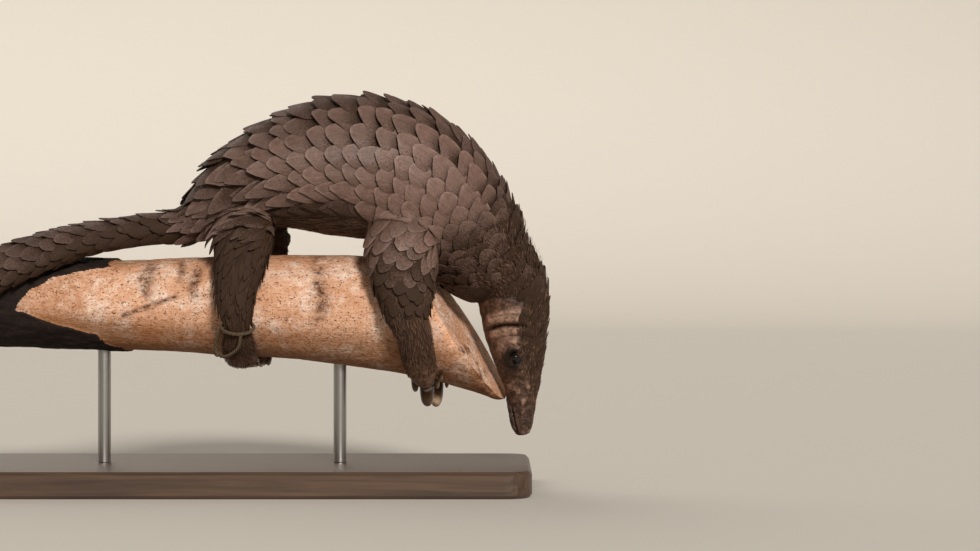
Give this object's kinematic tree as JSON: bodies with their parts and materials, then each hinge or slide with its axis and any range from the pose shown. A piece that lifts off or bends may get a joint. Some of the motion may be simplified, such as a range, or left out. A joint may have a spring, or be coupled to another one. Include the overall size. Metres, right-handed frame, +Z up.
{
  "type": "tree pangolin on a log",
  "caption": "Life-size still model of a tree pangolin draped over a cut log, head hanging past its slanted end, held by a flat base with steel rods",
  "frame": {"origin": "Centre of the underside of the stand's base, on the floor.", "axes": "+Z is up. +X runs along the log towards the animal's head. -Y is the animal's right side, which the picture shows."},
  "size_m": [0.5047, 0.15, 0.2451],
  "materials": {
    "scales": "dull horn, grey-brown",
    "skin": "bare mottled skin",
    "claw": "worn horn",
    "eye": "wet and glossy",
    "wood": "peeled and dry",
    "cord": "twisted plant fibre",
    "base_wood": "dark, satin",
    "steel": "brushed"
  },
  "bodies": {
    "root": {"eye_left": "eye", "ear_left": "skin", "thigh_left": "scales", "shank_left": "scales", "upper_arm_left": "scales", "hind_foot_left": "skin", "forearm_left": "skin", "fore_foot_left": "skin", "claw_fore_left_1": "claw", "claw_fore_left_2": "claw", "claw_fore_left_3": "claw", "claw_fore_left_4": "claw", "claw_fore_left_5": "claw", "claw_hind_left_1": "claw", "claw_hind_left_2": "claw", "claw_hind_left_3": "claw", "claw_hind_left_4": "claw", "claw_hind_left_5": "claw", "eye_right": "eye", "ear_right": "skin", "thigh_right": "scales", "shank_right": "scales", "upper_arm_right": "scales", "hind_foot_right": "skin", "forearm_right": "skin", "fore_foot_right": "skin", "claw_fore_right_1": "claw", "claw_fore_right_2": "claw", "claw_fore_right_3": "claw", "claw_fore_right_4": "claw", "claw_fore_right_5": "claw", "claw_hind_right_1": "claw", "claw_hind_right_2": "claw", "claw_hind_right_3": "claw", "claw_hind_right_4": "claw", "claw_hind_right_5": "claw", "neck": "scales", "chest": "scales", "back": "scales", "rump": "scales", "tail_1": "scales", "tail_2": "scales", "tail_3": "scales", "tail_4": "scales", "tail_5": "scales", "tail_6": "scales", "tail_7": "scales", "tail_8": "scales", "head": "skin", "log": "wood", "ankle_cord": "cord", "stand_base": "base_wood", "stand_rod_1": "steel", "stand_rod_2": "steel"}
  },
  "joints": []
}
